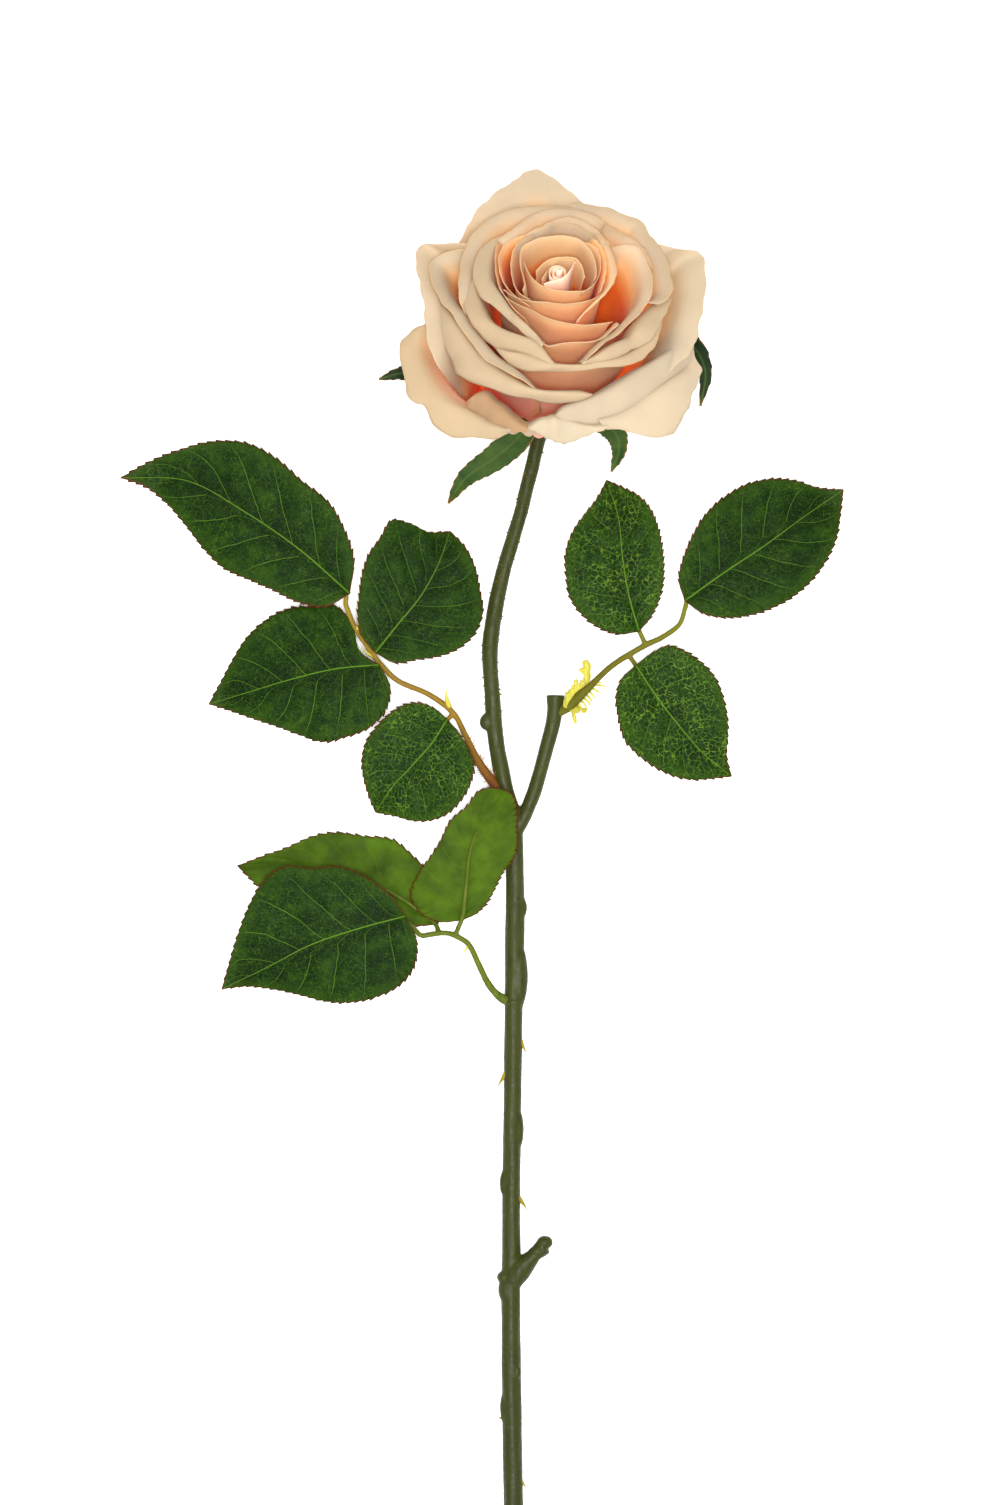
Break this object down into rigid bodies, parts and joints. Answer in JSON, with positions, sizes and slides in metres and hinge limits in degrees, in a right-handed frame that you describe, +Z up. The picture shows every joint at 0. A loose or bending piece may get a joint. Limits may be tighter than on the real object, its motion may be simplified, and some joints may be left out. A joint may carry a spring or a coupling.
{
  "type": "artificial cut rose stem",
  "caption": "Long-stemmed artificial rose with an open layered bloom, sepals, serrated leaf sprays and a thorny moulded stem, lying on its side.",
  "frame": {"origin": "on the surface it lies on, under the middle of its bounding box", "axes": "+Y along the stem from its cut end to the bloom, +Z up from the surface, +X to the right seen from above"},
  "size_m": [0.2419, 0.5007, 0.0839],
  "materials": {
    "petal_fabric": "soft satin cloth, cream rims shading to orange folds",
    "heart_petal": "soft satin cloth, peach",
    "leaf_fabric": "printed cloth, dark green with pale veins and red-brown edge",
    "leaf_underside": "printed cloth, olive underside",
    "sepal_fabric": "matt cloth over a moulded cup, grey green",
    "stem_plastic": "satin moulded, olive green",
    "rachis_plastic": "satin moulded, ochre green"
  },
  "bodies": {
    "root": {"bud_core": "heart_petal", "calyx": "sepal_fabric", "leaf_frame_left": "rachis_plastic", "leaf_frame_low": "rachis_plastic", "leaf_frame_right": "rachis_plastic", "leaflet_left_1": "leaf_fabric", "leaflet_left_2": "leaf_fabric", "leaflet_left_3": "leaf_fabric", "leaflet_left_4": "leaf_fabric", "leaflet_low_1": "leaf_fabric", "leaflet_low_2": "leaf_underside", "leaflet_low_3": "leaf_underside", "leaflet_right_1": "leaf_fabric", "leaflet_right_2": "leaf_fabric", "leaflet_right_3": "leaf_fabric", "petal_bud_1": "heart_petal", "petal_bud_2": "heart_petal", "petal_bud_3": "heart_petal", "petal_cup_1": "petal_fabric", "petal_cup_2": "petal_fabric", "petal_cup_3": "petal_fabric", "petal_cup_4": "petal_fabric", "petal_cup_5": "petal_fabric", "petal_guard_1": "petal_fabric", "petal_guard_2": "petal_fabric", "petal_guard_3": "petal_fabric", "petal_guard_4": "petal_fabric", "petal_guard_5": "petal_fabric", "petal_guard_6": "petal_fabric", "petal_heart_1": "heart_petal", "petal_heart_2": "heart_petal", "petal_heart_3": "heart_petal", "petal_inner_1": "petal_fabric", "petal_inner_2": "petal_fabric", "petal_inner_3": "petal_fabric", "petal_inner_4": "petal_fabric", "petal_middle_1": "petal_fabric", "petal_middle_2": "petal_fabric", "petal_middle_3": "petal_fabric", "petal_middle_4": "petal_fabric", "petal_outer_1": "petal_fabric", "petal_outer_2": "petal_fabric", "petal_outer_3": "petal_fabric", "petal_outer_4": "petal_fabric", "petal_outer_5": "petal_fabric", "stem": "stem_plastic"}
  },
  "joints": []
}
